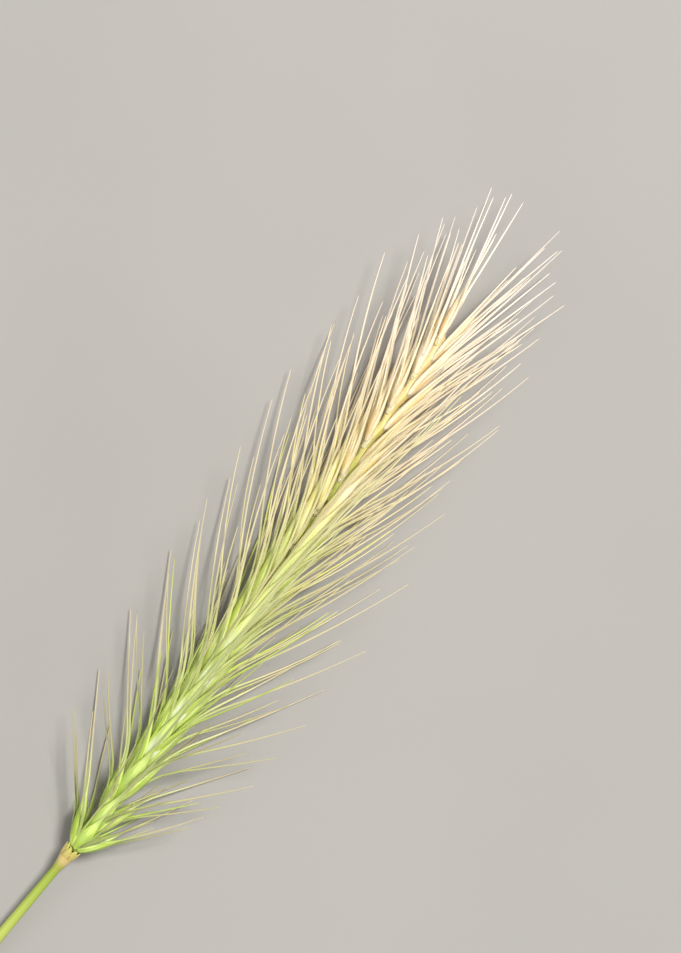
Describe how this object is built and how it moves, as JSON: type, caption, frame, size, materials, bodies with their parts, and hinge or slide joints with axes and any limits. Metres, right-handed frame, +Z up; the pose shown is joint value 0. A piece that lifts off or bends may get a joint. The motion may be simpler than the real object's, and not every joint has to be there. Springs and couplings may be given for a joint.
{
  "type": "wild barley ear",
  "caption": "Cut ear of wall barley, a wheat-like grass, lying down: a short straw, a zigzag stalk with slim husks, and long fine awns on both sides.",
  "frame": {"origin": "centre of the bounding box's bottom face, on the surface that the ear lies on", "axes": "+X along the ear from its cut straw to its tips, +Z up from the surface"},
  "size_m": [0.1182, 0.025, 0.0191],
  "materials": {
    "stem": "satin, fresh green straw",
    "ear_green": "satin, yellow-green husks and awns",
    "ear_straw": "satin, dry straw-coloured husks and awns"
  },
  "bodies": {
    "root": {"stem": "stem", "ear_green": "ear_green", "ear_straw": "ear_straw"}
  },
  "joints": []
}
